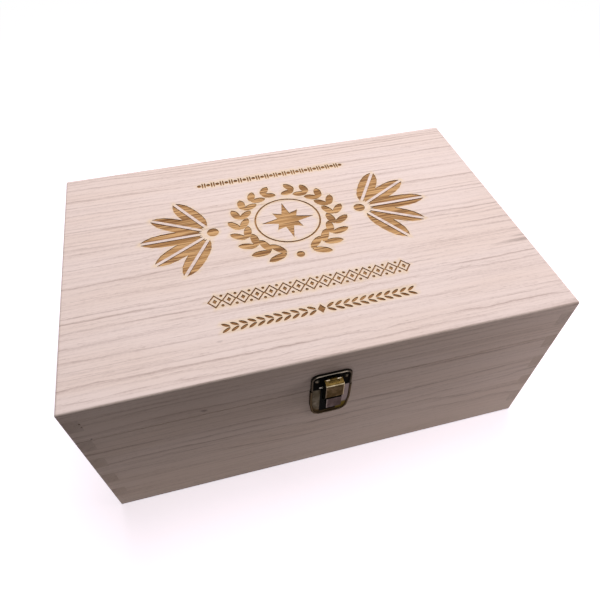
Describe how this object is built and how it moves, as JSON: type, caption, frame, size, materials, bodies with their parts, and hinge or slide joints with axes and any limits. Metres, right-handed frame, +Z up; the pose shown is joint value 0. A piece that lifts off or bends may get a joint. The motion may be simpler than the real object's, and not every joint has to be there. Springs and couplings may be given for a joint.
{
  "type": "hinged wooden keepsake box",
  "caption": "Hinged wooden box with finger-jointed corners, a sawn-off lid, stop hinges at the back and a brass toggle latch at the front.",
  "frame": {"origin": "centre of the underside of the box", "axes": "+X along the length, +Y from the latch at the front to the hinges at the back, +Z up"},
  "size_m": [0.3, 0.2146, 0.13],
  "materials": {
    "wood": "bare sanded paulownia with fine straight grain",
    "antique_brass": "dark antique patina, rubbed bright on the edges",
    "brass_fasteners": "antique brass pins, nails and screws"
  },
  "bodies": {
    "base": {"base_front_board": "wood", "base_back_board": "wood", "base_left_board": "wood", "base_right_board": "wood", "bottom_panel": "wood", "catch_plate": "antique_brass", "catch_nails": "brass_fasteners", "left_hinge_base_leaf": "antique_brass", "right_hinge_base_leaf": "antique_brass", "left_hinge_pin": "brass_fasteners", "right_hinge_pin": "brass_fasteners", "hinge_base_screws": "brass_fasteners"},
    "lid": {"lid_front_rail": "wood", "lid_back_rail": "wood", "lid_left_rail": "wood", "lid_right_rail": "wood", "lid_top_panel": "wood", "strike_plate": "antique_brass", "strike_nails": "brass_fasteners", "left_hinge_lid_leaf": "antique_brass", "right_hinge_lid_leaf": "antique_brass", "hinge_lid_screws": "brass_fasteners"},
    "lever": {"latch_lever": "antique_brass", "lever_pin": "brass_fasteners", "ring_rivets": "brass_fasteners"},
    "ring": {"draw_ring": "antique_brass"}
  },
  "joints": [
    {"name": "lid_hinge", "type": "hinge", "parent": "base", "child": "lid", "pos_m": [0, 0.1023, 0.0982], "axis": [-1, 0, 0], "range_deg": [0, 100]},
    {"name": "lever_swing", "type": "hinge", "parent": "base", "child": "lever", "pos_m": [-0.0031, -0.104, 0.0962], "axis": [-1, 0, 0], "range_deg": [0, 90]},
    {"name": "ring_swing", "type": "hinge", "parent": "lever", "child": "ring", "pos_m": [-0.0031, -0.1034, 0.0927], "axis": [-1, 0, 0], "range_deg": [-103.5, 0]}
  ],
  "couplings": [
    {"joint": "ring_swing", "follows": "lever_swing", "ratio": -1.15}
  ]
}
